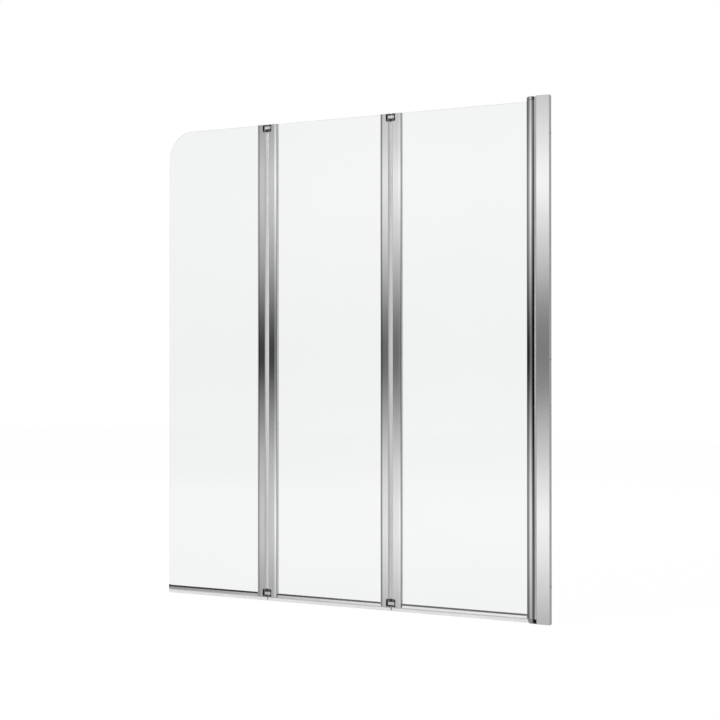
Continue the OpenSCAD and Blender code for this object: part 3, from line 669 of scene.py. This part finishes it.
hingeBlock = {"edge": 0.35 * mm}
for node, name, body in (("inner_hinge_blocks", "innerBlocks", "inner_panel"),
                         ("middle_wallside_blocks", "middleWallsideBlocks", "middle_panel"),
                         ("middle_freeside_blocks", "middleFreesideBlocks", "middle_panel"),
                         ("outer_hinge_blocks", "outerBlocks", "outer_panel")):
    dress(refineNode(node, name, hingeBlock["edge"]), body, [greyNylon], [node])

link = {"pitch": 18, "thick": 10.2, "height": 8.4, "inset": 4.6, "edge": 0.5 * mm, "edgeSteps": 3,
        "endSteps": 16, "roundness": 0.999}   # just under a half round, so that the two bevels stay apart
linkPin = {"radius": 2.2, "foot": 0.8, "top": 21.6, "edge": 0.4 * mm, "sides": 40}
washer = {"radius": 4.4, "thick": 0.8, "edge": 0.15 * mm, "sides": 40}
linkFoot = columns["foot"] + link["inset"]


def pinPlaces(middle):
    return [(middle + side * link["pitch"] / 2) * mm for side in (-1, 1)]


def boreThrough(piece, x, foot, top):
    past = 10 * mm   # how far the cutter reaches beyond the piece
    return cutWith(piece, addRod("bore", linkPin["radius"] * mm, x, 0, foot - past, top + past))


def makeLinkBar(name, middle):
    half, deep = link["pitch"] / 2 + link["thick"] / 2, link["thick"] / 2 * mm
    foot, top = linkFoot * mm, (linkFoot + link["height"]) * mm
    bar = addBox(name, [(middle - half) * mm, -deep, foot], [(middle + half) * mm, deep, top])
    roundOff(bar, lambda a, b: abs(a.z - b.z) > mm, deep * link["roundness"], link["endSteps"])
    for x in pinPlaces(middle):
        boreThrough(bar, x, foot, top)
    return softenEdges(bar, link["edge"], link["edgeSteps"])


def makePins(name, middle):
    foot, top = (columns["foot"] + linkPin["foot"]) * mm, (columns["foot"] + linkPin["top"]) * mm
    pins = [addRod(name, linkPin["radius"] * mm, x, 0, foot, top, linkPin["sides"])
            for x in pinPlaces(middle)]
    return softenEdges(joinPieces(name, pins), linkPin["edge"])


def makeWashers(name, middle):
    # one under the bar and one on it, on each pin
    rings = []
    for x in pinPlaces(middle):
        for foot in (linkFoot - washer["thick"], linkFoot + link["height"]):
            low, high = foot * mm, (foot + washer["thick"]) * mm
            ring = addRod(name, washer["radius"] * mm, x, 0, low, high, washer["sides"])
            rings.append(boreThrough(ring, x, low, high))
    return softenEdges(joinPieces(name, rings), washer["edge"])


def bothEnds(piece):
    # the same piece again at the top of the column
    middle = (columns["foot"] + columns["top"]) / 2 * mm
    return joinPieces(piece.name, [piece, flipCopy(piece, piece.name + "Top", middle)])


for fold in ("inner", "outer"):
    middle, body = columns[fold], fold + "_links"
    bars = bothEnds(makeLinkBar(fold + "LinkBars", middle))
    dress(bars, body, [linkSatin], [fold + "_link_bars"])
    pins = bothEnds(makePins(fold + "LinkPins", middle))
    dress(pins, body, [pinSteel], [fold + "_link_pins"])
    washers = bothEnds(makeWashers(fold + "LinkWashers", middle))
    dress(washers, body, [blackNylon], [fold + "_link_washers"])
print("fold columns made")


# bottom seal: lips that press on the glass, a clip round its foot and fins under it

seal = {"glass": 3.06, "outside": 4.4, "lipFoot": 18.9, "lipTop": 23.1, "glassFoot": 13.74, "railTop": 12.4,
        "railFoot": 9.9, "tip": 1.3, "chamfer": 0.6, "grooveFoot": 15.0, "grooveTop": 16.2, "groove": 0.25,
        "grooveSlope": 0.3, "lipEdge": 0.1 * mm, "edge": 0.08 * mm, "capEdge": 0.25 * mm, "capSteps": 3}


def makeLips(name, node, body):
    low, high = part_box(node)
    inside, outside, foot, top = seal["glass"], seal["outside"], seal["lipFoot"], seal["lipTop"]
    lip = [(inside, foot), (outside, foot), (outside, top - 2.2), (outside - 0.25, top - 0.9),
           (outside - 0.7, top - 0.15), (inside + 0.35, top), (inside, top - 0.2)]
    back = tracePrism(name, lip, low.x, high.x, "x")
    front = tracePrism(name + "Front", [(-y, z) for y, z in lip], low.x, high.x, "x")
    lips = softenEdges(joinPieces(name, [back, front]), seal["lipEdge"])
    return dress(lips, body, [lipDark], [node])


def makeClip(name, node, body):
    # a U round the pane's foot, with a fine groove along each side
    low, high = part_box(node)
    inside, outside, grooved = seal["glass"], seal["outside"], seal["outside"] - seal["groove"]
    side = [(outside - seal["chamfer"], seal["railTop"]), (outside, seal["railTop"] + seal["chamfer"]),
            (outside, seal["grooveFoot"]), (grooved, seal["grooveFoot"] + seal["grooveSlope"]),
            (grooved, seal["grooveTop"] - seal["grooveSlope"]), (outside, seal["grooveTop"]),
            (outside, seal["lipFoot"]), (inside, seal["lipFoot"]), (inside, seal["glassFoot"])]
    clip = softenEdges(tracePrism(name, acrossMirror(side), low.x, high.x, "x"), seal["edge"])
    return dress(clip, body, [sealClear], [node])


def makeFins(name, node, body):
    # a rail with two fins that curl out at their tips
    low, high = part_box(node)
    foot, top, tip = seal["railFoot"], seal["railTop"], seal["tip"]
    side = [(0.2, 4.1), (0.32, 9.5), (0.6, foot), (2.4, foot), (2.75, 9.5), (2.75, 6), (2.9, 3.4),
            (3.15, tip + 0.1), (3.6, tip), (4.1, tip + 0.3), (4.05, 3.2), (3.88, 6), (3.85, 9.3),
            (4.2, 9.8), (4.2, top)]
    fins = softenEdges(tracePrism(name, acrossMirror(side), low.x, high.x, "x"), seal["edge"])
    return dress(fins, body, [sealFrost], [node])


for part in ("inner", "middle", "outer"):
    makeLips(part + "SealLips", part + "_seal_lips", part + "_panel")
    makeClip(part + "SealClip", part + "_seal_clip", part + "_panel")
    makeFins(part + "SealFins", part + "_seal_fins", part + "_panel")
endCap = refineNode("outer_seal_end_cap", "sealEndCap", seal["capEdge"], seal["capSteps"])
dress(endCap, "outer_panel", [capGrey], ["outer_seal_end_cap"])
print("bottom seals made")


# wall side: channel, jamb, brackets, caps, pivot

def refineRows(body, steps, rows):
    # each row ends with the width of its broken edges, in millimetres
    for node, name, slot, finish, edge in rows:
        dress(refineNode(node, name, edge * mm, steps), body, [finish], [node])


refineRows("wall_frame", 3, [("wall_channel", "wallChannel", "chrome_profile", wallChrome, 0.3),
                             ("jamb_profile", "jambProfile", "satin_profile", jambSatin, 0.25),
                             ("top_bracket", "topBracket", "black_nylon", blackNylon, 0.4),
                             ("bottom_bracket", "bottomBracket", "black_nylon", blackNylon, 0.4),
                             ("top_pivot_cap", "topPivotCap", "chrome_profile", chrome, 0.5),
                             ("cap_nose_strip", "capNoseStrip", "black_rubber", blackRubber, 0.3),
                             ("bottom_pivot_boss", "bottomPivotBoss", "grey_metal", bossGrey, 0.4)])

topCapEdge = {"width": 0.5 * mm, "steps": 3}
low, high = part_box("channel_top_cap")
topCap = softenEdges(addBox("channelTopCap", low, high), topCapEdge["width"], topCapEdge["steps"])
dress(topCap, "wall_frame", [capPale], ["channel_top_cap"])

# the pivot seal: a flat pad on the jamb's lip, with a hooked foot in the lip's slot behind it
pivotSealForm = {"face": -41.4, "edge": 0.1 * mm,
                 "half": [(2.7, 1.6), (2.1, 2.8), (1.5, 2.8), (1.5, 1.4), (0, 1.4), (0, 6.0), (-0.9, 6.0),
                          (-1.6, 4.6), (-2.0, 2.4)]}
outline = withMirror([(pivotSealForm["face"] + u, v) for u, v in pivotSealForm["half"]])
low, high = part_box("jamb_seal")
pivotSeal = softenEdges(tracePrism("pivotSeal", outline, low.z, high.z, "z"), pivotSealForm["edge"])
dress(pivotSeal, "wall_frame", [sealRubber], ["jamb_seal"])

refineRows("inner_panel", 2, [("pivot_nose_strip", "pivotNoseStrip", "black_rubber", sealRubber, 0.2),
                              ("pivot_profile", "pivotProfile", "chrome_profile", chrome, 0.22),
                              ("pivot_bushes", "pivotBushes", "black_nylon", blackNylon, 0.2)])
refineRows("wall_frame", 3, [("pivot_pins", "pivotPins", "steel_pin", pinSteel, 0.4),
                             ("clamp_screws", "clampScrews", "steel_pin", pinSteel, 0.25)])
print("wall side made")


# floor, studio wall and light

stage = {"centre": -0.6, "floor": 9.0, "floorAt": -0.0005, "wall": 6.5, "wallFoot": -7.0, "wallTop": 9.0,
         "wallSides": 96, "wallGlow": 1.1}
floorLook = {"dark": (0.97,) * 3, "light": (0.99,) * 3, "patches": 0.8, "shade": 0.06, "glow": 0.96}


def seenDirectly(tree):
    # one for a ray of the camera, a mirror or clear glass, nought for light that falls on a surface
    path = tree.nodes.new("ShaderNodeLightPath")
    reflected = combine(tree, "MAXIMUM", path.outputs["Is Glossy Ray"], path.outputs["Is Transmission Ray"])
    return combine(tree, "MAXIMUM", path.outputs["Is Camera Ray"], reflected)


def floorFinish():
    finish, tree, shader, place = startFinish("floorPaint")
    patches = speckle(tree, place, floorLook["patches"])
    tree.links.new(mottled(tree, patches, floorLook["dark"], floorLook["light"]), shader.inputs["Base Color"])
    shader.inputs["Roughness"].default_value = 1
    shader.inputs["Specular IOR Level"].default_value = 0
    # what the camera, mirrors and glass see is white with a faint shadow
    shadow = tree.nodes.new("ShaderNodeBsdfDiffuse")
    shadow.inputs["Color"].default_value = (floorLook["shade"],) * 3 + (1,)
    glow = tree.nodes.new("ShaderNodeEmission")
    glow.inputs["Strength"].default_value = floorLook["glow"]
    white = tree.nodes.new("ShaderNodeAddShader")
    tree.links.new(shadow.outputs["BSDF"], white.inputs[0])
    tree.links.new(glow.outputs["Emission"], white.inputs[1])
    choice = tree.nodes.new("ShaderNodeMixShader")
    tree.links.new(seenDirectly(tree), choice.inputs["Fac"])
    tree.links.new(shader.outputs["BSDF"], choice.inputs[1])
    tree.links.new(white.outputs["Shader"], choice.inputs[2])
    tree.links.new(choice.outputs["Shader"], tree.nodes["Material Output"].inputs["Surface"])
    return finish


clearSelection()
bpy.ops.mesh.primitive_plane_add(size=2 * stage["floor"], location=(stage["centre"], 0, stage["floorAt"]))
floor = bpy.context.object
floor.name = "floor"
floor.data.materials.append(floorFinish())
floor.visible_glossy = False

# a round wall that only mirrors see: bright, with a dark band at eye height and darker towards the left;
# heights in metres, bearings in degrees, nought in front of the screen and positive to the right
wallLook = {
    "wideBand": [(-1.6, 0.9), (-1.2, 0.61), (-0.6, 0.085), (-0.47, 0.0), (0.22, 0.63), (0.5, 0.92),
                 (0.74, 1.0), (0.9, 1.0), (1.1, 0.93), (1.48, 0.55), (2.02, 0.02), (2.12, 0.0), (2.7, 0.48),
                 (3.2, 0.7)],
    "slimBand": [(-1.6, 0.8), (-1.0, 0.32), (-0.65, 0.03), (-0.3, 0.03), (0.0, 0.22), (0.6, 0.91),
                 (0.7, 1.0), (0.86, 1.0), (1.04, 0.88), (1.5, 0.375), (1.85, 0.06), (2.15, 0.03), (2.7, 0.48),
                 (3.2, 0.7)],
    "bright": [(-180, 0.42), (-66, 0.42), (-57, 0.21), (-48, 0.24), (-40, 0.40), (-32, 0.59), (-23.6, 0.86),
               (-14, 1.0), (0, 1.0), (17, 0.75), (30, 0.45), (90, 0.40), (180, 0.38)],
    "depth": [(-180, 0.0), (-66, 0.0), (-55, 0.95), (-32, 0.925), (-23.6, 0.82), (-14, 0.79), (180, 0.8)],
    "wide": [(-180, 0.0), (-32, 0.0), (-14, 1.0), (180, 1.0)],
    "fade": [(-7, 1), (-3, 0), (5, 0), (9, 1)]}   # far below and above, the wall fades into the white world


def wallPaint():
    finish = bpy.data.materials.new("wallPaint")
    finish.use_nodes = True
    tree = finish.node_tree
    tree.nodes.clear()
    place = tree.nodes.new("ShaderNodeTexCoord")
    height = coordinate(tree, place, "Z")
    across = combine(tree, "SUBTRACT", coordinate(tree, place, "X"), stage["centre"])
    forwards = combine(tree, "MULTIPLY", coordinate(tree, place, "Y"), -1)
    bearing = combine(tree, "DEGREES", combine(tree, "ARCTAN2", across, forwards))
    band = tree.nodes.new("ShaderNodeMix")
    tree.links.new(greyBy(tree, bearing, wallLook["wide"]), band.inputs["Factor"])
    tree.links.new(greyBy(tree, height, wallLook["slimBand"]), band.inputs["A"])
    tree.links.new(greyBy(tree, height, wallLook["wideBand"]), band.inputs["B"])
    shaded = combine(tree, "MULTIPLY", band.outputs["Result"], greyBy(tree, bearing, wallLook["depth"]))
    level = combine(tree, "MULTIPLY", greyBy(tree, bearing, wallLook["bright"]),
                    combine(tree, "SUBTRACT", 1, shaded))
    faded = tree.nodes.new("ShaderNodeMix")
    tree.links.new(greyBy(tree, height, wallLook["fade"]), faded.inputs["Factor"])
    tree.links.new(level, faded.inputs["A"])
    faded.inputs["B"].default_value = 1 / stage["wallGlow"]
    glow = tree.nodes.new("ShaderNodeEmission")
    glow.inputs["Strength"].default_value = stage["wallGlow"]
    out = tree.nodes.new("ShaderNodeOutputMaterial")
    tree.links.new(faded.outputs["Result"], glow.inputs["Color"])
    tree.links.new(glow.outputs["Emission"], out.inputs["Surface"])
    return finish


clearSelection()
bpy.ops.mesh.primitive_cylinder_add(vertices=stage["wallSides"], radius=stage["wall"],
                                    depth=stage["wallTop"] - stage["wallFoot"], end_fill_type="NOTHING",
                                    location=(stage["centre"], 0, (stage["wallTop"] + stage["wallFoot"]) / 2))
bpy.ops.object.transform_apply(location=True, rotation=True, scale=True)
studioWall = bpy.context.object
studioWall.name = "studioWall"
for sight in ("visible_camera", "visible_diffuse", "visible_transmission", "visible_volume_scatter",
              "visible_shadow"):
    setattr(studioWall, sight, False)
studioWall.data.materials.append(wallPaint())

lighting = {"world": 0.5, "aim": (-0.5, 0, 0.7),
            "keyLamp": {"place": (-3.0, -3.4, 1.7), "watts": 131, "size": 2.4},
            "fillLamp": {"place": (-3.9, 2.2, 2.4), "watts": 60, "size": 2.4}}
world = bpy.data.worlds.new("studio")
bpy.context.scene.world = world
world.use_nodes = True
tree = world.node_tree
tree.nodes.clear()
sky = tree.nodes.new("ShaderNodeBackground")
sky.inputs["Color"].default_value = (1, 1, 1, 1)
tree.links.new(spread(tree, seenDirectly(tree), lighting["world"], 1), sky.inputs["Strength"])
out = tree.nodes.new("ShaderNodeOutputWorld")
tree.links.new(sky.outputs["Background"], out.inputs["Surface"])

for name in ("keyLamp", "fillLamp"):
    lamp = lighting[name]
    clearSelection()
    bpy.ops.object.light_add(type="AREA", location=lamp["place"])
    light = bpy.context.object
    light.name = name
    light.data.energy = lamp["watts"]
    light.data.size = lamp["size"]
    aim = Vector(lighting["aim"]) - Vector(lamp["place"])
    light.rotation_euler = aim.to_track_quat("-Z", "Y").to_euler()
    for sight in ("visible_camera", "visible_glossy", "visible_transmission"):
        setattr(light, sight, False)
print("stage and light made")

bpy.context.scene.view_settings.view_transform = "Standard"
